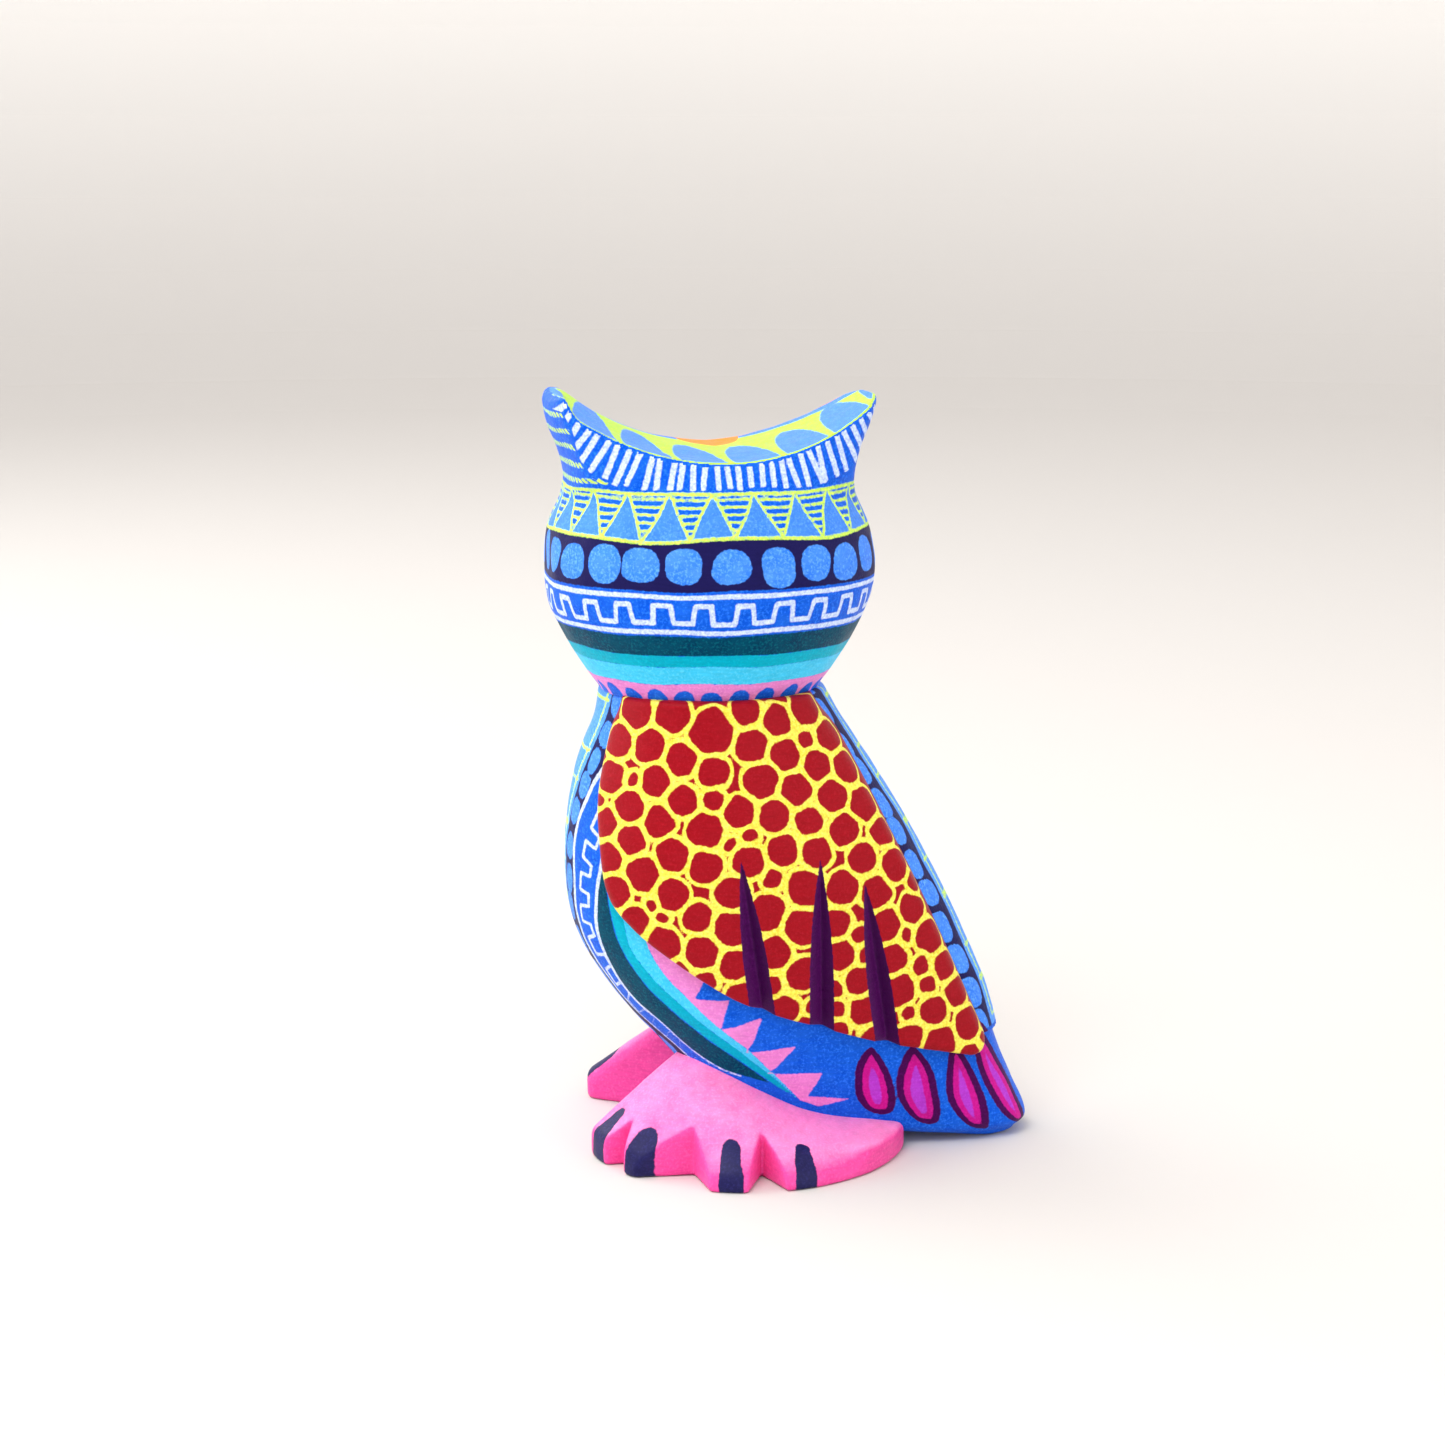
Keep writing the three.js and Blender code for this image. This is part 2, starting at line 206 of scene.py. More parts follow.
def line_distance(a, b, line):
    """Distance from each point (a, b) to an open line, how far along it, and on which side (-1 or 1)."""
    shape = np.shape(a)
    p = np.stack([np.ravel(a), np.ravel(b)], 1)
    line = np.asarray(line, float)
    lengths = np.linalg.norm(np.diff(line, axis=0), axis=1)
    starts = np.concatenate([[0], np.cumsum(lengths)])
    best = np.full(len(p), 1e9)
    along = np.zeros(len(p))
    side = np.ones(len(p))
    for i, length in enumerate(lengths):
        way = (line[i + 1] - line[i]) / length
        off = p - line[i]
        t = np.clip(off @ way, 0, length)
        gap = np.hypot(*(off - t[:, None] * way).T)
        near = gap < best - 1e-9
        best[near] = gap[near]
        along[near] = (starts[i] + t)[near]
        side[near] = np.sign(way[0] * off[:, 1] - way[1] * off[:, 0])[near]
    return best.reshape(shape), along.reshape(shape), side.reshape(shape)


def area_distance(a, b, outline):
    """Distance from each point (a, b) to a closed outline, negative inside it."""
    outline = np.asarray(outline, float)
    closed = np.vstack([outline, outline[:1]])
    gap, _, _ = line_distance(a, b, closed)
    inside = np.zeros(np.shape(a), bool)
    for (a0, b0), (a1, b1) in zip(closed[:-1], closed[1:]):
        if b0 != b1:
            crosses = (b0 > b) != (b1 > b)
            inside ^= crosses & (a < a0 + (b - b0) * (a1 - a0) / (b1 - b0))
    return np.where(inside, -gap, gap)


def along_line(a, b, start, end):
    """How far each point (a, b) is along a straight line and across from it, and the line's length."""
    start, end = np.array(start), np.array(end)
    length = np.linalg.norm(end - start)
    way = (end - start) / length
    along = (a - start[0]) * way[0] + (b - start[1]) * way[1]
    across = (a - start[0]) * way[1] - (b - start[1]) * way[0]
    return along, across, length


class Grid:
    """Points of a box, evenly spaced, as x, y and z arrays that broadcast together."""

    def __init__(self, low, high, step):
        self.low = np.array(low, float)
        self.step = step
        counts = np.ceil((np.array(high) - self.low) / step).astype(int) + 1
        axes = [start + step * np.arange(n) for start, n in zip(self.low, counts)]
        self.x, self.y, self.z = np.meshgrid(*axes, indexing="ij", sparse=True)

    def mesh(self, field):
        """The field's zero surface: its points and its four-sided faces."""
        volume = openvdb.FloatGrid(float(self.step * 3))
        volume.copyFromArray(np.ascontiguousarray(field, np.float32))
        points, faces = volume.convertToQuads(0.0)
        return points.astype(float) * self.step + self.low, faces.astype(np.int64)


def point_normals(points, faces):
    across = points[faces[:, 2]] - points[faces[:, 0]]
    over = points[faces[:, 3]] - points[faces[:, 1]]
    normal = np.cross(across, over)
    total = np.zeros_like(points)
    for corner in range(4):
        np.add.at(total, faces[:, corner], normal)
    return total / np.maximum(np.linalg.norm(total, axis=1, keepdims=True), 1e-12)


# ---- fields of the pieces ----

TORSO = smooth_rows(TORSO_SECTIONS)
HEAD = smooth_rows(HEAD_SECTIONS)


def torso_section(y, z):
    """The section at height z: its widest place, reach from there along Y, half width and exponent."""
    front, widest, back, half, corner = at_height(TORSO, z)
    reach = np.where(y < widest, widest - front, back - widest)
    return widest, reach, half, np.where(y < widest, 2, corner)


def torso_surface(x, y, z):
    widest, reach, half, power = torso_section(y, z)
    return (np.abs(x / half)**power + np.abs((y - widest) / reach)**power)**(1 / power) - 1


def spine_ridge(x, y, z):
    """How far the strip of paint and wood down the spine stands proud near its lower end."""
    across = 1 - smoothstep(5.0, 8.5, np.abs(x))
    return 0.75 * across * (1 - smoothstep(16, 36, z)) * (z > 14.7) * (y > 15)


def torso_field(grid):
    distance = to_distance(torso_surface(grid.x, grid.y, grid.z), grid.step)
    field = distance - spine_ridge(grid.x, grid.y, grid.z)
    foot = np.interp(grid.y, *zip(*TORSO_FOOT))
    field = soft_max(field, foot - grid.z, 1.3)
    return soft_max(field, grid.z - TORSO_TOP, 0.6)


def head_outline(x, y, z):
    """How far outside the head's round body and outside its ears' flat sides, in shares of its size."""
    width, back, face = at_height(HEAD, z)
    depth = np.where(x > 0, back, face)
    flare = 1 + 0.16 * smoothstep(86, 90.5, z)
    round_part = (np.abs(x / depth)**2.1 + np.abs(y / (width * flare))**2.1)**(1 / 2.1) - 1
    ear_side = np.abs(y) / width + 0.2 * (x / depth)**2 - 1
    return round_part, ear_side


def crown_radius(x, y):
    """The saddle's radius. It is smaller, so the saddle higher, towards the left ear and at its tip."""
    at_face = 0.095 * np.clip(2 - y, 0, 19.5)
    at_back = 2.1 * smoothstep(-17.6, -20.8, y)
    return CROWN_RADIUS - at_face - (at_back - at_face) * smoothstep(-6, 9, x)


def head_field(grid):
    """The head in its own frame: +Y between the ears, -X the face."""
    x, y, z = grid.x, grid.y, grid.z
    round_part, ear_side = head_outline(x, y, z)
    field = soft_max(to_distance(round_part, grid.step), to_distance(ear_side, grid.step), 0.5)
    scoop = crown_radius(x, y) - np.hypot(y, z - CROWN_AXIS)
    field = soft_max(field, scoop, 0.45 + 0.4 * smoothstep(17, 21, y))
    field = soft_max(field, y - EAR_ENDS[1], 0.5)
    field = soft_max(field, EAR_ENDS[0] - y, 0.6)
    field = soft_max(field, z - EAR_TOP, 0.5)
    cut = (z - EAR_CUT[1]) * EAR_CUT_WAY[1] + (y - EAR_CUT[0]) * EAR_CUT_WAY[0]
    field = soft_max(field, cut, 0.5)
    for side in (-1, 1):
        field = soft_max(field, -eye_ball(grid, side, *EYE_DISH), 0.6)
        field = soft_min(field, eye_ball(grid, side, *EYE_BALL), 0.3)
    return soft_max(field, HEAD_FOOT - z, 0.8)


def eye_axis(side):
    start = np.array(EYE_START) * (1, side, 1)
    return start, np.array((-math.cos(EYE_TILT), side * math.sin(EYE_TILT), 0))


def eye_ball(grid, side, radius, ahead):
    start, outward = eye_axis(side)
    x, y, z = start + outward * ahead
    return np.sqrt((grid.x - x)**2 + (grid.y - y)**2 + (grid.z - z)**2) - radius


def wing_outline():
    edge = WING_BACK_EDGE
    return np.vstack([
        bend(edge["top"], edge["bow"], edge["low"]),
        bend(edge["low"], edge["tip"], WING_LOWER_EDGE[0], 8)[1:],
        smooth_rows(WING_LOWER_EDGE, 80)[1:],
    ])


WING_OUTLINE = wing_outline()


def groove_shape(y, z, start, end):
    """Where a groove is: distance from its middle, half width there, and share of its length."""
    along, across, length = along_line(y, z, start, end)
    down = along / length
    half = GROOVE_HALF_WIDTH * np.sin(np.clip(down / 0.62, 0, 1) * math.pi / 2)**0.85
    return across, half, down


def wing_thickness(y, z):
    thick = WING_THICKNESS[0] + WING_THICKNESS[1] * smoothstep(58, 40, z)
    for start, end in WING_GROOVES:
        across, half, _ = groove_shape(y, z, start, end)
        cut = np.clip(1 - np.abs(across) / np.maximum(half, 1e-6), 0, 1)
        thick = thick - GROOVE_DEPTH * cut * half / GROOVE_HALF_WIDTH
    return thick


def wing_edge(y, z):
    """Distance to the wing's outline, which is a little wider below the shoulder, negative inside."""
    return area_distance(y, z, WING_OUTLINE) - 0.45 * smoothstep(60, 56, z)


def wing_field(grid):
    torso = to_distance(torso_surface(grid.x, grid.y, grid.z), grid.step)
    edge = wing_edge(*np.broadcast_arrays(grid.y[0], grid.z[0]))[None]
    field = soft_max(torso - wing_thickness(grid.y, grid.z), edge, 0.9)
    return np.maximum(field, -torso - 0.4)


def foot_share(x, y):
    """0 at the peak of a foot and 1 at its rim, along the straight slope between them."""
    shift = FOOT_MIDDLE - FOOT_PEAK
    px, py = x - FOOT_PEAK[0], y - FOOT_PEAK[1]
    a = FOOT_RADIUS**2 - shift @ shift
    b = px * shift[0] + py * shift[1]
    return (np.sqrt(b * b + a * (px * px + py * py)) - b) / a


def on_foot_circle(angle, distance):
    turn = math.radians(angle)
    return FOOT_MIDDLE + distance * np.array((math.cos(turn), math.sin(turn)))


def foot_field(grid, ahead):
    """A foot on the left side, moved ahead by that much."""
    x, y, z = grid.x, grid.y + ahead, grid.z
    share = foot_share(x, y)
    heel = 1 - 0.7 * smoothstep(-4, 16, y)
    height = FOOT_RIM + (FOOT_TOP - FOOT_RIM) * (1 - np.minimum(share, 1.2)**1.15) * heel
    out = np.hypot(x - FOOT_MIDDLE[0], y - FOOT_MIDDLE[1])
    toe_side = smoothstep(0.45, 0.8, (x - FOOT_MIDDLE[0]) / np.maximum(out, 1))
    # Away from the toes the bevel is lifted clear of the foot.
    bevel = (z - TOE_BEVEL[0] - TOE_BEVEL[1] * (FOOT_RADIUS - out)) * 0.62 - 6 * (1 - toe_side)
    field = soft_max((z - height) * 0.87, (share - 1) * FOOT_RADIUS, 0.9)
    field = soft_max(field, bevel, 1.6)
    x2, y2 = np.broadcast_arrays(x[:, :, 0], y[:, :, 0])
    inner_soft = 2.6 if ahead else 0.8  # the right foot's inner crest is rounder
    plan = area_distance(x2, y2, FOOT_PLAN)[:, :, None]
    field = soft_max(field, plan - 0.12 * inner_soft, inner_soft)
    for direction, front_opening, back_opening, inner in TOE_NOTCHES:
        spread = (CLAW_REACH - inner) / (FOOT_RADIUS + 1 - inner)
        wedge = [on_foot_circle(direction, inner)]
        wedge.append(on_foot_circle(direction - front_opening * spread, CLAW_REACH))
        wedge.append(on_foot_circle(direction + back_opening * spread, CLAW_REACH))
        field = soft_max(field, -area_distance(x2, y2, wedge)[:, :, None], 0.35)
    torso = to_distance(torso_surface(x, grid.y, z), grid.step)
    field = np.maximum(field, -torso - 0.7)
    return soft_max(field, -z, 0.7)


# ---- paint on the torso ----
# Places on it are (s, z): s is the distance round the body at height z from its widest place, negative
# towards the chest and positive towards the back.

def round_the_body(points):
    """s of each point, and how far it is round from the widest place to the middle of the chest or back."""
    x, y, z = np.abs(points[:, 0]), points[:, 1], points[:, 2]
    widest, reach, half, power = torso_section(y, z)
    turn = np.arctan2(np.abs((y - widest) / reach)**(power / 2), (x / half)**(power / 2))
    return np.sign(y - widest) * arc(turn, half, reach, power), arc(math.pi / 2, half, reach, power)


def arc(turn, half, reach, power):
    """Length along an ellipse or a squarer curve, from its end at the side round by an angle."""
    steps = 24
    total = 0
    across, along = half, 0 * half
    for i in range(1, steps + 1):
        angle = turn * i / steps
        next_across = half * np.abs(np.cos(angle))**(2 / power)
        next_along = reach * np.abs(np.sin(angle))**(2 / power)
        total = total + np.hypot(next_across - across, next_along - along)
        across, along = next_across, next_along
    return total


CHEST_BEADS = smooth_rows([
    (-13.4, 62), (-14.3, 59), (-16.6, 54.7), (-18.9, 50.9), (-21.8, 46.2), (-23.4, 41.6), (-24.3, 37),
    (-24.6, 33), (-24.3, 29), (-22.9, 24.8), (-20.6, 20.8), (-17.4, 17), (-13.6, 13.4), (-10.5, 10.6),
], 90)
CHEST_LINE = smooth_rows([
    (-9.5, 60), (-13.0, 55.2), (-16.4, 51.0), (-20.0, 46.2), (-22.1, 41.4), (-22.7, 36), (-22.5, 31.4),
    (-21.5, 26.8), (-19.6, 23), (-16.6, 19.6), (-13.2, 16.4), (-9.9, 13.4), (-7.2, 11.6),
], 90)
KEY_LINE = smooth_rows([
    (-13.0, 50), (-15.2, 44), (-16.5, 39.3), (-17.6, 34.8), (-18.0, 30), (-17.5, 25.6), (-15.9, 22.4),
    (-13.6, 20.0), (-10.9, 17.6), (-8.6, 15.2), (-6.4, 13.4), (-4.0, 12.0), (-1.5, 11.0),
], 90)
PETROL_EDGE = smooth_rows([
    (-15.6, 40), (-15.4, 35), (-14.9, 31.7), (-14.3, 29.4), (-13.4, 27.0), (-12.3, 24.9), (-11.0, 22.8),
    (-9.2, 20.9), (-7.3, 19.0), (-4.8, 16.6), (-2.7, 14.7), (0.0, 12.3), (2.8, 9.4),
], 70)
TURQUOISE_EDGE = smooth_rows([
    (-13.6, 34), (-12.9, 30), (-12.4, 28.4), (-10.8, 25.8), (-9.4, 23.8), (-7.9, 21.9), (-5.8, 19.6),
    (-3.5, 17.4), (-1.4, 15.3), (0.6, 13.1), (2.6, 10.9), (4.9, 7.8),
], 70)
CYAN_EDGE = smooth_rows([
    (-10.6, 31), (-9.3, 27.7), (-7.5, 24.2), (-4.9, 20.8),
    (-2.1, 17.7), (0.7, 14.4), (3.2, 10.9), (5.4, 7.4),
], 70)
PINK_TEETH = [
    (7.4, 6.5), (11.9, 7.5), (6.5, 8.0), (9.0, 11.4), (2.1, 11.5), (6.8, 15.4), (-0.2, 14.6),
    (3.5, 19.6), (-2.4, 18.1), (-0.3, 22.3), (-5.0, 22.2), (-1.5, 27.0), (-5.0, 34),
]
TAIL_DROPS = [  # top and bottom along (s, z), half width
    ((16.4, 15.0), (15.0, 4.7), 2.65),
    ((22.0, 14.6), (20.5, 3.0), 2.75),
    ((27.8, 14.2), (27.2, 1.6), 2.5),
    ((32.2, 16.6), (33.8, 1.2), 2.5),
]


def between(one_edge, other_edge):
    return np.vstack([one_edge, np.asarray(other_edge)[::-1]])


def ovals(along, across, pitch, half_length, half_width, seed):
    """A row of uneven ovals, one each pitch along a line."""
    rng = np.random.default_rng(seed)
    index = np.floor(along / pitch).astype(int)
    table = rng.uniform(-1, 1, (200, 4))[index % 200]
    centre = (index + 0.5) * pitch + 0.12 * pitch * table[:, 0]
    length = half_length * (1 + 0.1 * table[:, 1])
    width = half_width * (1 + 0.1 * table[:, 2])
    off = np.abs(along - centre) / length
    out = np.abs(across - 0.15 * half_width * table[:, 3]) / width
    return ((off**2.4 + out**2.4)**(1 / 2.4) - 1) * np.minimum(length, width)


def key_pattern(along, across, pitch, height):
    """Distance to a square wave that leans a little, as a brush draws it."""
    lean = 0.12 * pitch
    corners = [(0, 0), (lean * 0.5, height), (pitch * 0.45, height), (pitch * 0.5, 0), (pitch, 0)]
    spot = along % pitch
    best = np.full(len(along), 1e9)
    for shift in (-pitch, 0, pitch):
        line = [(a + shift, b - height / 2) for a, b in corners]
        best = np.minimum(best, line_distance(spot, across, line)[0])
    return best


def drop_distance(a, b, top, bottom, half):
    """A drop: pointed at its top and round at its bottom, negative inside."""
    down, across, length = along_line(a, b, top, bottom)
    share = np.clip(down / length, 0, 1)
    width = half * 2.32 * share**0.75 * (1 - share)**0.5
    return np.maximum.reduce([(np.abs(across) - width) * 0.93, -down, down - length])


def torso_paint(points):
    s, quarter = round_the_body(points)
    z = points[:, 2]
    hand = np.stack([s, z, points[:, 0] * 0.7], 1)
    s = s + 0.16 * wobble(hand, 7, 11)
    v = z + 0.16 * wobble(hand, 6, 12)
    from_spine = quarter - s
    layers = {}

    bead_gap, bead_along, bead_side = line_distance(s, v, CHEST_BEADS)
    line_gap, _, line_side = line_distance(s, v, CHEST_LINE)
    key_gap, _, key_side = line_distance(s, v, KEY_LINE)
    # Lines run down the body, so the wing's side of each is on the left of its way.
    from_beads = bead_gap * bead_side
    chest_band = np.maximum(-from_beads - 1.35, line_gap * line_side - 0.1)
    front = points[:, 1] < 4  # the chest's half of the torso, and the rest is the spine's

    def by_half(chest, spine):
        return np.minimum(np.where(front, chest, spine), 9)

    middle_line = 0.5 * (CHEST_LINE + KEY_LINE)
    middle_gap, middle_along, middle_side = line_distance(s, v, middle_line)
    key = key_pattern(middle_along, middle_gap * middle_side, 4.4, 1.9)
    key_zone = np.maximum(line_gap * -line_side, key_gap * key_side)

    spine_steps = np.hypot(np.diff(TORSO[:, 0]), np.diff(TORSO[:, 3]))
    down_spine = np.interp(z, TORSO[:, 0], np.concatenate([[0], np.cumsum(spine_steps)]))
    spine_end = 15.3 - v
    spine_band = np.maximum.reduce([3.5 - from_spine, from_spine - 9.5, spine_end])
    spine_beads = np.maximum(ovals(down_spine, from_spine - 6.2, 4.75, 2.15, 1.85, 5), spine_end)

    layers["band"] = by_half(chest_band, spine_band)
    chest_beads = ovals(bead_along, from_beads, 4.4, 2.0, 1.1, 6)
    layers["bead"] = by_half(chest_beads, spine_beads)
    layers["petrol"] = area_distance(s, v, between(KEY_LINE, PETROL_EDGE)) + 0.15
    layers["turquoise"] = area_distance(s, v, between(PETROL_EDGE, TURQUOISE_EDGE))
    layers["cyan"] = area_distance(s, v, between(TURQUOISE_EDGE, CYAN_EDGE))
    layers["pink"] = area_distance(s, v, np.vstack([CYAN_EDGE, PINK_TEETH]))
    faint = smoothstep(25, 16, z)  # the white lines thin out towards the feet
    lines = np.minimum(line_gap, key_gap) - 0.3 + 0.17 * faint
    key = np.maximum(key - 0.24 + 0.22 * faint, key_zone)
    layers["white"] = np.where(front, np.minimum(lines, key), 9)
    layers["drop"] = np.minimum.reduce([drop_distance(s, v, *spec) for spec in TAIL_DROPS])

    layers["strip"] = by_half(from_beads + 1.25, np.maximum(from_spine - 3.4, spine_end))
    rung_pitch = 6.2
    ladder = np.abs(((down_spine + 0.9 * np.sin(z * 0.5)) % rung_pitch) - rung_pitch / 2) - 0.3
    edges = np.abs(layers["strip"] + 1.1) - 0.2
    layers["lime"] = np.maximum(np.minimum(ladder, edges), layers["strip"] + 0.5)
    return layers


# ---- paint on the head ----

# Lower and upper edges of the bands round the head.
HEAD_BANDS = {
    "hatch": (82.2, 87.7), "key": (70.75, 75.35), "petrol": (67.6, 70.2),
    "turquoise": (66.0, 67.6), "cyan": (63.5, 66.0), "pink": (60, 63.5),
}
DISC_HEIGHT = 79.0
DISC_BAND_LOW = 76.05
DASHES_LOW = 88.15  # no dash comes lower than this
EAR_ROWS = (97.2, 95.0, 93.0, 90.9, 88.9)  # heights of the rows of strokes on the ears
# Radii that the patterns round the head and the neck are spaced on.
HEAD_RADIUS = 21.8
NECK_RADIUS = 15.0


def head_paint(points):
    x, y, z = points.T
    width, back, face = at_height(HEAD, z)
    turn = np.arctan2(y / width, x / np.where(x > 0, back, face))
    v = z + 0.17 * wobble(points, 9, 21)
    u = turn * HEAD_RADIUS + 0.2 * wobble(points, 6, 22)
    layers = {}

    # The crown: on its saddle, rim is the distance from the edge, and below it minus that distance.
    round_part, ear_side = head_outline(x, y, z)
    rho = np.hypot(y, z - CROWN_AXIS)
    over = np.arctan2(y, CROWN_AXIS - z) * CROWN_RADIUS
    below = rho - crown_radius(x, y)
    rim = -np.maximum(round_part, ear_side) * 15 - below
    outer = (ear_side - round_part) * 18  # positive on the outer side of an ear

    # Dashes below the rim
    pitch = 1.33
    index = np.round(over / pitch)
    rng = np.random.default_rng(31)
    jitter = rng.uniform(-1, 1, (80, 3))[(index + 40).astype(int) % 80]
    off = over - (index + 0.14 * jitter[:, 0]) * pitch
    off = (off + 0.12 * (below - 1.8) * jitter[:, 1]) * rho / CROWN_RADIUS
    # low_end is how far below the rim they end: least at the ears, most between an ear and the middle.
    low_end = 3.3 + 0.3 * jitter[:, 2] + 1.9 * smoothstep(3, 11, np.abs(over))
    low_end = low_end - 2.4 * smoothstep(14, 24, over) - 3.4 * smoothstep(-13.5, -20.5, over)
    low_end = low_end + 1.8 * smoothstep(-20.5, -22.5, over)
    reach = np.maximum(0.35 - below, below - low_end)
    ridge = outer - 2.6 * smoothstep(13, 19, np.abs(y))
    inner_side = ridge + np.where(y < 0, 1.2, 0.3)
    dashes = np.maximum.reduce([np.abs(off) - 0.35, reach, inner_side, DASHES_LOW - z])
    dashes = np.where(rim > -0.3, 9, dashes)

    # Hatched triangles between two lime lines
    zone_low, zone_top = HEAD_BANDS["hatch"]
    zone_low = zone_low + 0.22 * np.sin(u * 0.25 + 1)
    tri_pitch = 2 * math.pi * HEAD_RADIUS / 22
    spot = np.abs(((u + 2.5) % tri_pitch) - tri_pitch / 2)
    half_here = (tri_pitch / 2 - 0.1) * np.clip((v - zone_low) / (zone_top - zone_low), 0, 1)
    slant = np.abs(spot - half_here) * 0.9
    hatch = np.abs(((v - zone_top + 0.22) % 0.92) - 0.46)
    in_zone = np.maximum(v - zone_top, zone_low - v)
    triangles = np.maximum(np.minimum(slant - 0.2, np.maximum(hatch - 0.17, spot - half_here)), in_zone)
    lines = np.minimum(np.abs(v - zone_top), np.abs(v - zone_low)) - 0.22
    lime = np.minimum(triangles, lines)

    # Rows of strokes on the outer sides of the ears
    rows = np.minimum.reduce([np.abs(v - height) for height in EAR_ROWS])
    strokes = np.maximum(rows - 0.34, np.abs(((x + 0.9 * v) % 0.95) - 0.475) - 0.3)
    side_start = np.where(y < 0, -2.5, -0.4)
    ear_strokes = np.maximum.reduce([strokes, side_start - ridge, low_end + 0.3 - below, 88.4 - z])
    lime = np.minimum(lime, ear_strokes)

    # The crown's own paint: petals that stand on the near rim, and a thin edge at the far one
    crown_half = np.sqrt(np.clip(1 - (y / 23.5)**2, 0, 1)) * 13.8  # half its depth from face to back
    petal_pitch = 6.85
    petal_centre = np.round((over + 2.8) / petal_pitch) * petal_pitch - 2.8
    petal = (np.hypot((over - petal_centre) / 2.95, (crown_half - x) / 17.0) - 1) * 2.4
    ground = np.maximum.reduce([-rim, -petal, 2.4 - x - crown_half])
    near_line = np.maximum(np.abs(rim - 0.12) - 0.25, -x)
    layers["lime"] = np.where(rim > -0.2, 9, lime)
    layers["crown"] = np.where(rim > -0.2, np.minimum(ground, near_line), 9)
    layers["pale"] = np.where(rim > 0, -1.0, np.maximum(in_zone, half_here - spot))

    # Bands round the head
    layers["band"] = np.maximum(v - zone_low + 0.1, DISC_BAND_LOW - v)
    disc_pitch = 2 * math.pi * HEAD_RADIUS / 24
    layers["bead"] = ovals(u + 100.5 * disc_pitch, v - DISC_HEIGHT, disc_pitch, 2.4, 2.3, 33)
    key_low, key_high = HEAD_BANDS["key"]
    key = key_pattern(u + 200, v - (key_low + key_high) / 2, 2 * math.pi * HEAD_RADIUS / 26, 2.3) - 0.32
    white_lines = np.minimum(np.abs(v - key_high), np.abs(v - key_low)) - 0.3
    layers["white"] = np.minimum.reduce([dashes, key, white_lines])
    for name in ("petrol", "turquoise", "cyan"):
        low, high = HEAD_BANDS[name]
        layers[name] = np.maximum(v - high, low - v)
    dome_pitch = 2 * math.pi * NECK_RADIUS / 26
    across = ((turn * NECK_RADIUS) % dome_pitch) - dome_pitch / 2
    dome = np.hypot(across, (z - 61.1) * 0.9) - 1.4 - 0.2 * wobble(points, 4, 23)
    pink_low, pink_high = HEAD_BANDS["pink"]
    layers["pink"] = np.maximum.reduce([v - pink_high, pink_low - z, -dome])

    # The face
    eyes = []
    angles = []
    for side in (-1, 1):
        start, outward = eye_axis(side)
        off = points - start
        flat = off - (off @ outward)[:, None] * outward
        eyes.append(np.linalg.norm(flat, axis=1))
        angles.append(np.arctan2(flat[:, 2], flat[:, 1] * side))
    ring = np.minimum(*eyes)
    angle = np.where(eyes[0] < eyes[1], *angles)
    ring = np.where(x > 0, 30, ring)
    layers["face"] = ring
    spoke = np.abs((angle % (math.pi / 13)) - math.pi / 26) * ring
    layers["spoke"] = np.maximum.reduce([spoke - 0.3, 4.6 - ring, ring - 7.4])
    brow = np.maximum.reduce([np.abs(y) - 0.55 * (z - 79.5), x + 3, 80 - z])
    sliver = np.clip(1 - ((y - 2.0) / 4.2)**2, 0, 1)
    layers["brow"] = np.where(rim > 0, x + crown_half - 7.5 * np.sqrt(sliver), brow)
    return layers


# ---- paint on the wings ----

DOT_GAP = 1.3
FIRST_DOT = (-1.3, 57.2)
FIRST_DOT_RADIUS = 2.3
DOT_RADII = ((1.4, 1.8), (1.05, 1.35), (0.65, 0.95), (0.35, 0.5))


def pack_dots(points, edge_room, groove_room, rng):
    """Centres and radii of dots of mixed sizes, each in the tightest corner between those before it."""
    centres, radii = [], []
    # Room to the nearest and to the second nearest thing around each point.
    first = np.minimum(edge_room, groove_room)
    second = np.maximum(edge_room, groove_room)
    best = np.argmin(np.hypot(points[:, 1] - FIRST_DOT[0], points[:, 2] - FIRST_DOT[1]))
    radius = FIRST_DOT_RADIUS
    for low, high in DOT_RADII:
        while True:
            if best is not None:
                away = np.linalg.norm(points - points[best], axis=1) - radius - DOT_GAP
                second = np.minimum(second, np.maximum(first, away))
                first = np.minimum(first, away)
                centres.append(points[best])
                radii.append(radius)
            radius = rng.uniform(low, high)
            if first.max() < low:
                best = None
                break
            radius = min(radius, first.max())
            best = np.argmin(np.where(first >= radius, first + second, np.inf))
    centres, radii = np.array(centres), np.array(radii)
    for i in range(len(radii)):
        apart = np.linalg.norm(centres - centres[i], axis=1) - radii - DOT_GAP
        apart[i] = 99
        radii[i] = np.clip(apart.min(), radii[i], radii[i] + 0.35)
    return centres, radii


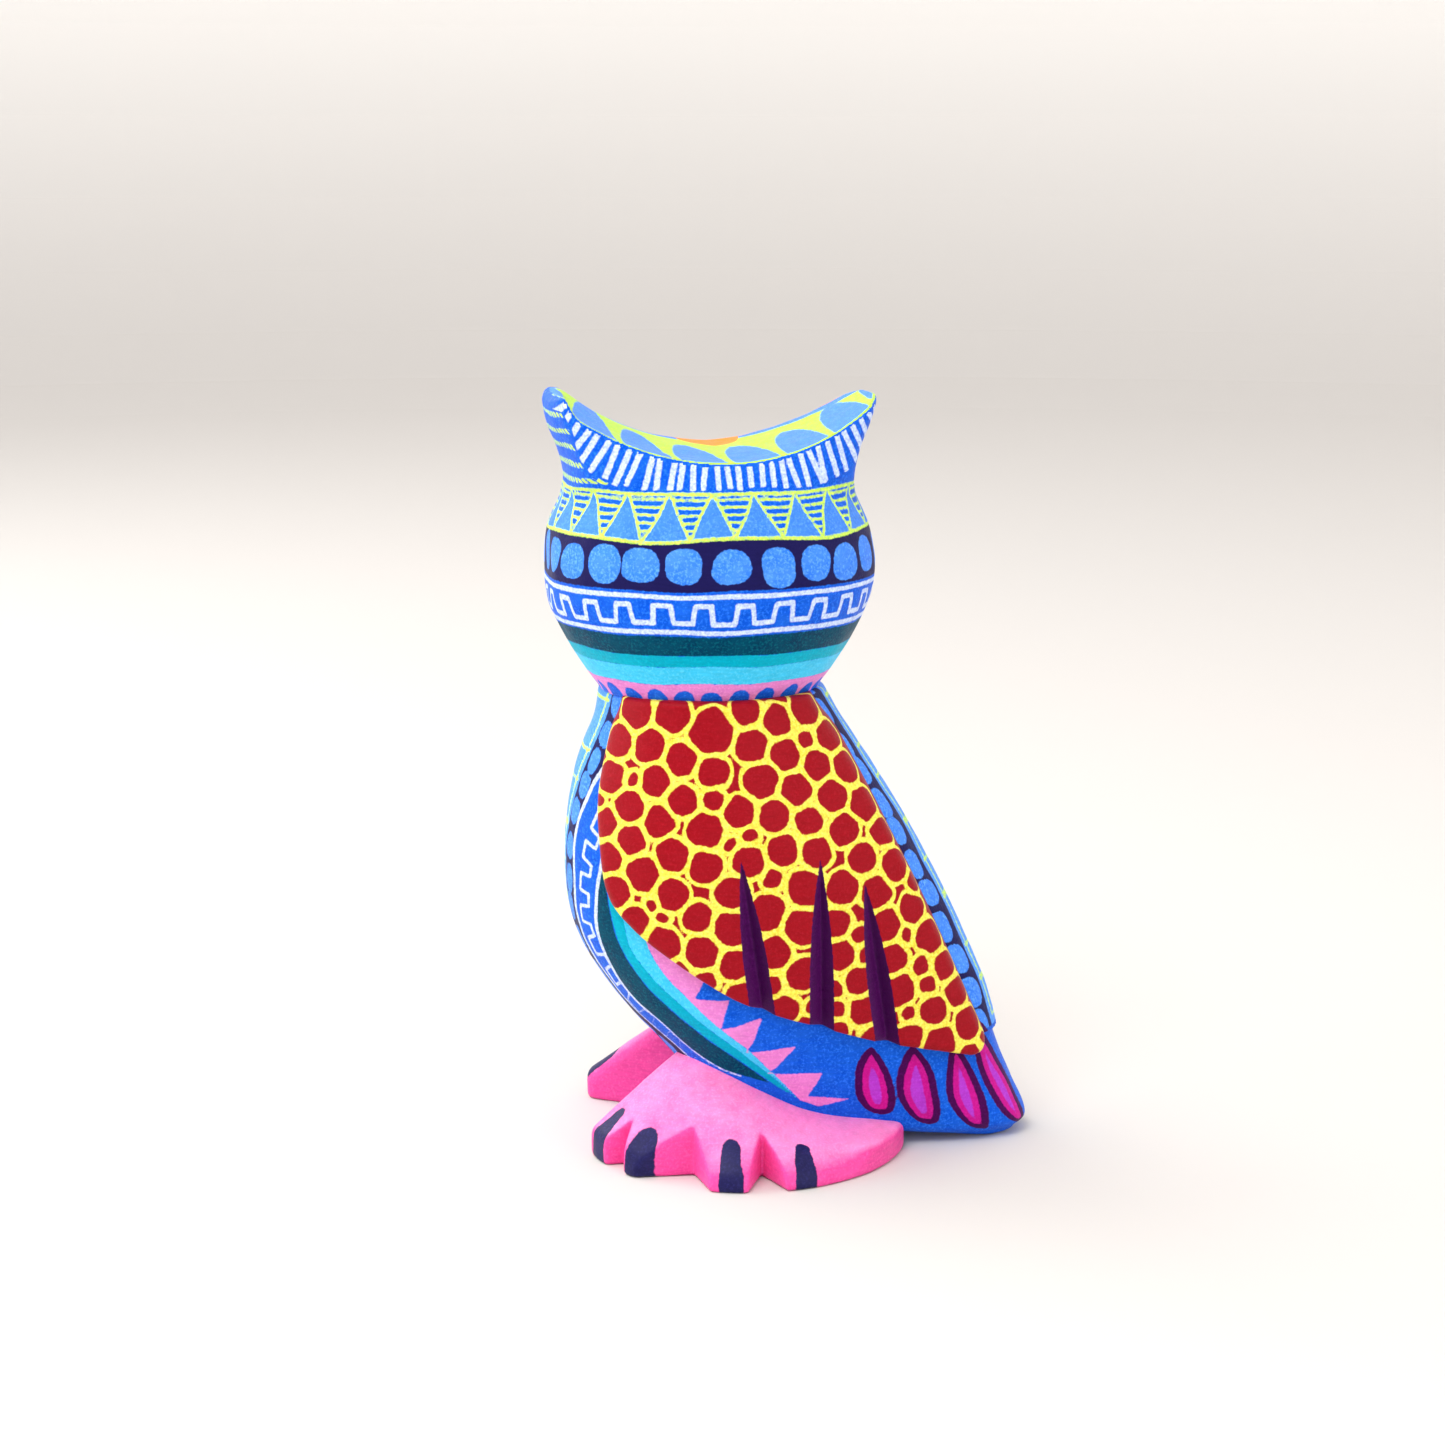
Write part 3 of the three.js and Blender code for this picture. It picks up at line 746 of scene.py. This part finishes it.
def wing_paint(points):
    y, z = points[:, 1], points[:, 2]
    edge = wing_edge(y, z)
    groove = np.full(len(points), 9.0)
    groove_side = np.zeros(len(points))
    for start, end in WING_GROOVES:
        across, half, down = groove_shape(y, z, start, end)
        distance = np.where(down > 0, np.abs(across) - half, 9)
        groove_side = np.where(distance < groove, across, groove_side)
        groove = np.minimum(groove, distance)

    rng = np.random.default_rng(8)
    usable = np.nonzero((to_outer_side(points) > 0.5) & (edge < -0.2) & (groove > -0.4))[0]
    chosen = rng.permutation(usable)[:9000]
    centres, radii = pack_dots(points[chosen], -edge[chosen] + 0.45, groove[chosen] + 0.6, rng)
    moved = points + 0.2 * np.stack([wobble(points, 2.6, seed) for seed in (41, 42, 43)], 1)
    nearest = np.full(len(points), 1e9)
    second = np.full(len(points), 1e9)
    for centre, radius in zip(centres, radii):
        off = np.linalg.norm(moved - centre, axis=1) - radius
        second = np.minimum(second, np.maximum(nearest, off))
        nearest = np.minimum(nearest, off)
    dot = soft_max(nearest - 0.72, (nearest - second) / 2 + 0.24, 0.8)
    return {"dot": dot, "ring": nearest, "groove": groove, "groove_side": groove_side}


def to_outer_side(points):
    """Distance of points outside the torso, roughly."""
    x, y, z = points.T
    widest = at_height(TORSO, z)[1]
    share = torso_surface(x, y, z) + 1
    return np.hypot(x, y - widest) * (1 - 1 / np.maximum(share, 1e-6))


# ---- paint on the feet ----

def claw_line(x, y, direction, inner, outer_direction):
    line = [on_foot_circle(direction, inner), on_foot_circle(outer_direction, CLAW_REACH)]
    return line_distance(x, y, line)


def foot_paint(points, ahead):
    x, y, z = points[:, 0], points[:, 1] + ahead, points[:, 2]
    plan = area_distance(x, y, FOOT_PLAN)
    claw = np.full(len(points), 9.0)
    for direction, inner, outer_direction, half, outer_half in CLAWS:
        gap, along, _ = claw_line(x, y, direction, inner + half, outer_direction)
        claw = np.minimum(claw, gap - half - (outer_half - half) * np.clip(along / 3.5, 0, 1))
    claw = np.maximum(claw, plan + 0.5)
    if ahead:
        direction, inner, outer_direction, half = RIGHT_FRONT_CLAW
        gap, _, _ = claw_line(x, y, direction, inner, outer_direction)
        claw = np.minimum(claw, np.maximum.reduce([gap - half, plan + 0.3, 3.0 - z]))
    return {"claw": claw + 0.12 * wobble(points, 3, 51)}


# ---- meshes ----

def add_object(name, data):
    made = bpy.data.objects.new(name, data)
    bpy.context.scene.collection.objects.link(made)
    return made


def add_piece(name, points, faces, layers, material, body_slot, nodes, head=False, mirror=False):
    """A piece from its points and faces in millimetres, with its paint as attributes."""
    points = points.copy()
    if head:
        cosine, sine = math.cos(HEAD_TURN), math.sin(HEAD_TURN)
        x, y = points[:, 0].copy(), points[:, 1].copy()
        points[:, 0] = x * cosine - y * sine
        points[:, 1] = x * sine + y * cosine + HEAD_Y
    if mirror:
        points[:, 0] *= -1
        faces = faces[:, ::-1]
    points[:, 1] += SHIFT_Y
    mesh = bpy.data.meshes.new(name)
    mesh.vertices.add(len(points))
    mesh.vertices.foreach_set("co", (points * MM).astype(np.float32).ravel())
    mesh.loops.add(faces.size)
    mesh.loops.foreach_set("vertex_index", faces.astype(np.int32).ravel())
    mesh.polygons.add(len(faces))
    mesh.polygons.foreach_set("loop_start", np.arange(0, faces.size, faces.shape[1], dtype=np.int32))
    mesh.update(calc_edges=True)
    mesh.validate()
    for layer, values in layers.items():
        attribute = mesh.attributes.new(layer, "FLOAT", "POINT")
        attribute.data.foreach_set("value", np.clip(values, -50, 50).astype(np.float32))
    mesh.materials.append(material)
    piece = add_object(name, mesh)
    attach(piece, "root")
    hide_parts(*nodes)


def carve(points, faces, amount, seed):
    """Leaves the knife's and the sandpaper's soft unevenness on a surface."""
    normals = point_normals(points, faces)
    uneven = amount * (wobble(points, 9, seed) + 0.45 * wobble(points, 3.2, seed + 1))
    return points + normals * uneven[:, None]


def neck_dowel_middle():
    low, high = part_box("neck_dowel")
    return (low.y + high.y) / 2 / MM


SHIFT_Y = neck_dowel_middle() - NECK_DOWEL_Y


def build(low, high, step, field, paint, uneven, seed):
    """Meshes a field over a box, works out the paint on its points and then carves them."""
    grid = Grid(low, high, step * (1))
    points, faces = grid.mesh(field(grid))
    layers = paint(points)
    return carve(points, faces, uneven, seed), faces, layers


def make_torso(material):
    shape = build((-17, -23, -0.5), (17, 43, 62.5), 0.3, torso_field, torso_paint, 0.07, 61)
    add_piece("torso_painted", *shape, material, "painted_blue", ["torso"])


def make_head(material):
    low, high = (-20.5, -23.5, 59.5), (20.5, 23.5, 101)
    shape = build(low, high, 0.27, head_field, head_paint, 0.06, 71)
    add_piece("head_painted", *shape, material, "painted_blue", ["head"], head=True)


def make_beak(material):
    around, rings = 64, 44
    share = np.linspace(-0.12, 1, rings)[:, None]
    angle = np.linspace(0, 2 * math.pi, around, endpoint=False)[None]
    width = np.clip(1 - share, 0, 1.2)**0.75 * (BEAK["radius"] - BEAK["tip"])
    width = width + BEAK["tip"] * (share < 0.999)
    ridge = 1 + 0.1 * np.cos(angle)**8 * (np.cos(angle) > 0)
    x = BEAK["root"] - share * BEAK["length"] + 0 * angle
    y = np.sin(angle) * width * 0.92
    z = BEAK["height"] + np.cos(angle) * width * BEAK["tall"] * ridge
    z = z - BEAK["hook"] * np.clip(share, 0, 1)**2
    points = np.stack([x, y, z], 2).reshape(-1, 3)
    faces = []
    for i in range(rings - 1):
        for j in range(around):
            k = (j + 1) % around
            faces.append((i * around + j, (i + 1) * around + j, (i + 1) * around + k, i * around + k))
    root, tip = len(points), len(points) + 1
    points = np.vstack([points, points[:around].mean(0), points[-around:].mean(0) - (0.05, 0, 0)])
    for j in range(0, around, 2):
        k, m = j + 1, (j + 2) % around
        faces.append((root, j, k, m))
        last = (rings - 1) * around
        faces.append((tip, last + m, last + k, last + j))
    faces = np.array(faces)
    x, side, rise = points[:, 0], np.abs(points[:, 1]), points[:, 2] - BEAK["height"]
    layers = {
        "mouth": np.abs(rise + 1.9 + 0.25 * (x + 20)) - 0.22,
        "nostril": np.hypot(x + 17.4, (rise - 1.1) * 1.4) - 0.5,
        "ridge": side - 0.5,
    }
    add_piece("beak_painted", points, faces, layers, material, "painted_orange", ["beak"], head=True)


def make_wings(material):
    shape = build((0.5, -18, 11.5), (19, 37, 62.5), 0.25, wing_field, wing_paint, 0.05, 81)
    for side in ("left", "right"):
        add_piece("wing_painted_" + side, *shape, material, "painted_crimson", ["wing_" + side],
                  mirror=side == "right")


def make_feet(material):
    for side, ahead in (("left", 0), ("right", RIGHT_FOOT_AHEAD)):
        points, faces, layers = build(
            (1.5, -24, -0.6), (27, 26, 16), 0.27,
            lambda grid: foot_field(grid, ahead), lambda points: foot_paint(points, ahead), 0.05, 91)
        points[:, 2] = np.maximum(points[:, 2], 0)
        add_piece("foot_painted_" + side, points, faces, layers, material, "painted_pink",
                  ["foot_" + side], mirror=side == "right")


# ---- materials ----

def linear(colour):
    """sRGB from 0 to 255 as the linear colour that a shader takes."""
    parts = [c / 255 for c in colour]
    return [c / 12.92 if c <= 0.04045 else ((c + 0.055) / 1.055)**2.4 for c in parts] + [1.0]


def set_inputs(node, values):
    for name, value in values.items():
        node.inputs[name].default_value = value


class Paint:
    """A painted material, built up as a painter does: a ground, then layers over it, then the finish."""

    def __init__(self, name, ground, ground_specks):
        self.material = bpy.data.materials.new(name)
        self.material.use_nodes = True
        self.tree = self.material.node_tree
        self.tree.nodes.clear()
        self.output = self.node("ShaderNodeOutputMaterial")
        self.shader = self.node("ShaderNodeBsdfPrincipled")
        self.link(self.shader.outputs["BSDF"], self.output.inputs["Surface"])
        self.place = self.node("ShaderNodeTexCoord").outputs["Object"]
        self.edge_noise = self.spread(self.noise(0.55, detail=3.0), 0.16)
        self.fleck = self.noise(0.34, detail=2.5, roughness=0.6)
        self.cloud = self.noise(2.4, detail=3.0)
        self.colour = self.speckled(ground, ground_specks)

    def node(self, kind, **values):
        made = self.tree.nodes.new(kind)
        for key, value in values.items():
            setattr(made, key, value)
        return made

    def link(self, start, end):
        self.tree.links.new(start, end)

    def noise(self, size, detail=2.0, roughness=0.5, stretch=None):
        """Noise with features of that many millimetres."""
        made = self.node("ShaderNodeTexNoise")
        set_inputs(made, {"Scale": 1 / (size * MM), "Detail": detail, "Roughness": roughness})
        place = self.place
        if stretch:
            mapping = self.node("ShaderNodeMapping")
            set_inputs(mapping, {"Scale": stretch})
            self.link(place, mapping.inputs["Vector"])
            place = mapping.outputs["Vector"]
        self.link(place, made.inputs["Vector"])
        return made.outputs["Fac"]

    def math(self, operation, a, b):
        made = self.node("ShaderNodeMath", operation=operation)
        for socket, value in zip(made.inputs, (a, b)):
            if isinstance(value, (int, float)):
                socket.default_value = value
            else:
                self.link(value, socket)
        return made.outputs[0]

    def spread(self, value, amount):
        """Noise around a half as a shift of up to about half that amount either way."""
        return self.math("MULTIPLY", self.math("SUBTRACT", value, 0.5), amount * 2)

    def ramp(self, value, low, high, at_low=0.0, at_high=1.0):
        made = self.node("ShaderNodeMapRange")
        set_inputs(made, {"From Min": low, "From Max": high, "To Min": at_low, "To Max": at_high})
        self.link(value, made.inputs["Value"])
        return made.outputs["Result"]

    def mix(self, share, a, b, blend="MIX"):
        made = self.node("ShaderNodeMix", data_type="RGBA", blend_type=blend)
        sockets = {s.identifier: s for s in made.inputs}
        for key, value in (("Factor_Float", share), ("A_Color", a), ("B_Color", b)):
            if isinstance(value, (int, float, list)):
                sockets[key].default_value = value
            else:
                self.link(value, sockets[key])
        return next(s for s in made.outputs if s.identifier == "Result_Color")

    def speckled(self, colour, specks):
        """A colour with lighter flecks and cloudy patches, as thin acrylic dries on sanded wood."""
        if specks is None:
            return linear(colour)
        flecks = self.ramp(self.fleck, 0.46, 0.68)
        patches = self.ramp(self.cloud, 0.35, 0.75, 0.0, 0.45)
        return self.mix(self.math("MAXIMUM", flecks, patches), linear(colour), linear(specks))

    def attribute(self, name):
        return self.node("ShaderNodeAttribute", attribute_name=name).outputs["Fac"]

    def inside(self, name, edge=0.0, soft=0.07, rough=1.0):
        """1 where the attribute is under edge, with a hand-painted border."""
        value = self.math("ADD", self.attribute(name), self.math("MULTIPLY", self.edge_noise, rough))
        return self.ramp(value, edge + soft, edge - soft)

    def layer(self, name, colour, specks=None, edge=0.0, cover=1.0, soft=0.07, rough=1.0, within=None):
        """Paints a colour where the attribute is under edge, worn thin here and there."""
        share = self.inside(name, edge, soft, rough)
        if within is not None:
            share = self.math("MULTIPLY", share, within)
        if cover < 1:
            worn = self.ramp(self.fleck, 0.36, 0.5, cover, 1.0)
            share = self.math("MULTIPLY", share, worn)
        self.colour = self.mix(share, self.colour, self.speckled(colour, specks))
        return share

    def finish(self, roughness=0.5, grain=0.5, shade=0.1, varnish=0.0):
        streaks = self.noise(1.6, detail=3.0, stretch=(1, 1, 5))
        light = self.ramp(streaks, 0.3, 0.7, 1 - shade, 1 + shade * 0.6)
        tone = self.math("ADD", light, self.spread(self.fleck, shade * 0.55))
        grey = self.node("ShaderNodeCombineColor")
        for socket in grey.inputs:
            self.link(tone, socket)
        shaded = self.mix(1.0, self.colour, grey.outputs[0], "MULTIPLY")
        self.link(shaded, self.shader.inputs["Base Color"])
        self.link(shaded, self.shader.inputs["Specular Tint"])
        worn = self.ramp(self.cloud, 0.3, 0.7, roughness - 0.07, roughness + 0.09)
        self.link(worn, self.shader.inputs["Roughness"])
        gloss = {"Specular IOR Level": 0.25, "Coat Weight": varnish, "Coat Roughness": 0.4}
        set_inputs(self.shader, gloss)
        bump = self.node("ShaderNodeBump")
        set_inputs(bump, {"Strength": grain, "Distance": 0.12 * MM})
        fine = self.noise(0.42, detail=3.0, roughness=0.65)
        relief = self.math("ADD", fine, self.math("MULTIPLY", streaks, 0.7))
        self.link(relief, bump.inputs["Height"])
        self.link(bump.outputs["Normal"], self.shader.inputs["Normal"])
        return self.material


BLUE = ((10, 84, 214), (44, 122, 240))
PALE_BLUE = ((70, 145, 246), (110, 176, 252))
DUSTY_BLUE = ((62, 128, 232), (92, 156, 244))
NAVY = (30, 27, 80)
BEAD = ((52, 124, 244), (104, 170, 254))
PETROL = ((0, 56, 86), (4, 92, 112))
TURQUOISE = ((0, 166, 196), (6, 184, 208))
CYAN = ((58, 198, 244), (90, 212, 250))
PALE_PINK = ((226, 130, 208), (236, 150, 216))
LIME = ((196, 240, 70), (222, 250, 120))
CROWN_LIME = ((178, 222, 52), (196, 234, 78))
WHITE = ((196, 214, 252), (224, 236, 255))
CRIMSON = ((150, 14, 26), (160, 22, 36))
YELLOW = ((244, 228, 70), (246, 240, 120))
PURPLE = ((68, 8, 76), (80, 16, 88))
# A darker purple for one flank of each wing groove: painted shade in the groove.
SHADED_GROOVE_PURPLE = (54, 4, 62)
MAGENTA = ((196, 20, 140), (206, 36, 150))
VIOLET = ((176, 56, 200), (186, 70, 212))
HOT_PINK = ((238, 70, 154), (244, 88, 168))
TOP_HIGHLIGHT_PINK = ((252, 134, 196), (254, 152, 208))  # paler pink on upward-facing surfaces: a painted highlight from the light above
ORANGE = ((238, 132, 34), (246, 152, 52))
STRIPES = {"petrol": PETROL, "turquoise": TURQUOISE, "cyan": CYAN, "pink": PALE_PINK}


def head_material():
    paint = Paint("painted_head", *BLUE)
    paint.layer("pale", *DUSTY_BLUE)
    for name, colours in STRIPES.items():
        paint.layer(name, *colours)
    paint.layer("band", NAVY)
    paint.layer("bead", *BEAD)
    paint.layer("lime", *LIME, cover=0.7)
    paint.layer("crown", *CROWN_LIME, cover=0.85)
    paint.layer("white", *WHITE, cover=0.75, rough=0.7)
    paint.layer("brow", *ORANGE)
    paint.layer("face", NAVY, edge=9.3)
    paint.layer("face", *ORANGE, edge=8.4)
    paint.layer("spoke", *YELLOW, cover=0.7)
    paint.layer("face", NAVY, edge=4.35)
    paint.layer("face", (250, 246, 232), edge=3.75)
    paint.layer("face", *YELLOW, edge=3.2)
    paint.layer("face", (18, 14, 24), edge=1.75)
    return paint.finish()


def torso_material():
    paint = Paint("painted_torso", *BLUE)
    paint.layer("strip", *PALE_BLUE)
    paint.layer("lime", *LIME, cover=0.35, rough=1.4)
    paint.layer("band", NAVY)
    paint.layer("bead", *BEAD)
    for name, colours in STRIPES.items():
        paint.layer(name, *colours)
    paint.layer("white", *WHITE, cover=0.75, rough=0.7)
    paint.layer("drop", *PURPLE)
    paint.layer("drop", *MAGENTA, edge=-0.95)
    paint.layer("drop", *VIOLET, edge=-1.75)
    return paint.finish()


def wing_material():
    paint = Paint("painted_wing", *CRIMSON)
    paint.layer("ring", *YELLOW, edge=1.18, cover=0.8)
    paint.layer("dot", *CRIMSON)
    paint.layer("groove", *PURPLE, soft=0.05)
    # One flank of each groove is painted a darker purple: painted shade in the groove.
    shaded_flank = paint.ramp(paint.attribute("groove_side"), 0.1, -0.1)
    paint.layer("groove", SHADED_GROOVE_PURPLE, soft=0.05, within=shaded_flank)
    return paint.finish(varnish=0.1)


def foot_material():
    paint = Paint("painted_foot", *HOT_PINK)
    # Surfaces that face upwards turn a paler pink, chosen by their normal: a painted highlight from the
    # light above.
    split = paint.node("ShaderNodeSeparateXYZ")
    paint.link(paint.node("ShaderNodeNewGeometry").outputs["Normal"], split.inputs[0])
    top_highlight = paint.math("ADD", split.outputs["Z"], paint.spread(paint.cloud, 0.2))
    paint.colour = paint.mix(paint.ramp(top_highlight, 0.45, 0.95), paint.colour, paint.speckled(*TOP_HIGHLIGHT_PINK))
    paint.layer("claw", (28, 26, 74), (40, 38, 94))
    return paint.finish(varnish=0.25)


def beak_material():
    paint = Paint("painted_beak", *ORANGE)
    paint.layer("ridge", *YELLOW, cover=0.6)
    paint.layer("mouth", (110, 40, 20))
    paint.layer("nostril", NAVY)
    return paint.finish()


def wood_material():
    paint = Paint("bare_dowel", (206, 170, 120), (222, 192, 146))
    return paint.finish(roughness=0.7, grain=0.7, shade=0.2)


# ---- the scene ----

def make_floor():
    """A pale floor that curves up into a backdrop on three sides, open towards +X, in metres."""
    material = bpy.data.materials.new("pale_floor")
    material.use_nodes = True
    tree = material.node_tree
    shader = tree.nodes["Principled BSDF"]
    set_inputs(shader, {
        "Base Color": linear((212, 209, 205)),
        "Roughness": 0.9,
        "Specular IOR Level": 0.05,
        "Emission Color": linear((250, 247, 242)),
    })
    # The backdrop glows more the higher up it is.
    place = tree.nodes.new("ShaderNodeTexCoord")
    split = tree.nodes.new("ShaderNodeSeparateXYZ")
    glow = tree.nodes.new("ShaderNodeMapRange")
    set_inputs(glow, {"From Max": 0.35, "To Max": 0.55})
    tree.links.new(place.outputs["Object"], split.inputs[0])
    tree.links.new(split.outputs["Z"], glow.inputs["Value"])
    tree.links.new(glow.outputs["Result"], shader.inputs["Emission Strength"])
    flat, bend_radius, wall = 1.1, 1.2, 2.2
    profile = [(0.4, 0.0), (flat, 0.0)]
    for turn in np.linspace(0, math.pi / 2, 16)[1:]:
        profile.append((flat + bend_radius * math.sin(turn), bend_radius * (1 - math.cos(turn))))
    profile.append((flat + bend_radius, bend_radius + wall))
    around = 96
    corners = [(0.0, 0.0, 0.0)]
    for r, z in profile:
        for a in np.linspace(0, 2 * math.pi, around + 1)[:-1]:
            open_side = float(smoothstep(0.25, 0.75, math.cos(a)))
            corners.append((r * math.cos(a), r * math.sin(a), z * (1 - open_side)))
    faces = [(0, 1 + j, 1 + (j + 1) % around) for j in range(around)]
    for i in range(len(profile) - 1):
        for j in range(around):
            k = (j + 1) % around
            low, high = 1 + i * around, 1 + (i + 1) * around
            faces.append((low + j, high + j, high + k, low + k))
    mesh = bpy.data.meshes.new("floor")
    mesh.from_pydata(corners, [], faces)
    mesh.materials.append(material)
    floor = add_object("floor", mesh)


# Lamps, in metres: name, place, size, power, colour.
LAMPS = [
    ("key", (0.45, -0.25, 0.75), 0.5, 4.2, (1.0, 0.98, 0.96)),
    ("fill", (0.6, 0.35, 0.2), 0.6, 1.5, (0.97, 0.98, 1.0)),
    ("rim", (-0.3, -0.5, 0.6), 0.6, 3.0, (1.0, 1.0, 1.0)),
    ("chest", (0.15, -0.7, 0.2), 0.5, 1.6, (1.0, 1.0, 1.0)),
]
LAMP_TARGET = (0, 0, 0.05)


def make_lights():
    """A bright sky that is dimmer low down and towards +X, and four soft lamps."""
    world = bpy.data.worlds.new("studio")
    bpy.context.scene.world = world
    world.use_nodes = True
    tree = world.node_tree
    sky = tree.nodes["Background"]
    set_inputs(sky, {"Color": linear((248, 246, 250))})
    place = tree.nodes.new("ShaderNodeTexCoord")
    aim = tree.nodes.new("ShaderNodeVectorMath")
    aim.operation = "DOT_PRODUCT"
    set_inputs(aim, {1: (-0.35, 0.0, 0.94)})
    strength = tree.nodes.new("ShaderNodeMapRange")
    set_inputs(strength, {"From Min": -0.3, "From Max": 0.9, "To Min": 0.2, "To Max": 1.2})
    tree.links.new(place.outputs["Generated"], aim.inputs[0])
    tree.links.new(aim.outputs["Value"], strength.inputs["Value"])
    tree.links.new(strength.outputs["Result"], sky.inputs["Strength"])
    for name, place, size, power, colour in LAMPS:
        light = bpy.data.lights.new(name, "AREA")
        light.shape = "DISK"
        light.size = size
        light.energy = power
        light.color = colour
        way = Vector(LAMP_TARGET) - Vector(place)
        lamp = add_object(name, light)
        lamp.location = place
        lamp.rotation_euler = way.to_track_quat("-Z", "Y").to_euler()
    bpy.context.scene.view_settings.view_transform = "Standard"


def make_camera():
    """At the height and distance that show the owl in its left profile from a little above."""
    distance, height, pitch = 350.0, 128.0, math.radians(11.67)
    camera = bpy.data.cameras.new("camera")
    camera.sensor_width = 36.0
    camera.lens = 67.7
    camera.clip_start = 0.01
    viewer = add_object("camera", camera)
    viewer.location = (distance * MM, SHIFT_Y * MM, height * MM)
    viewer.rotation_euler = (math.pi / 2 - pitch, 0, math.pi / 2)
    bpy.context.scene.camera = viewer


def dress_cad_nodes():
    wood = wood_material()
    for name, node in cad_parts.items():
        if "dowel" in name or "peg" in name:
            node.data.materials.clear()
            node.data.materials.append(wood)


make_camera()
make_lights()
make_floor()
make_torso(torso_material())
make_head(head_material())
make_beak(beak_material())
make_wings(wing_material())
make_feet(foot_material())
dress_cad_nodes()

bpy.context.view_layer.update()
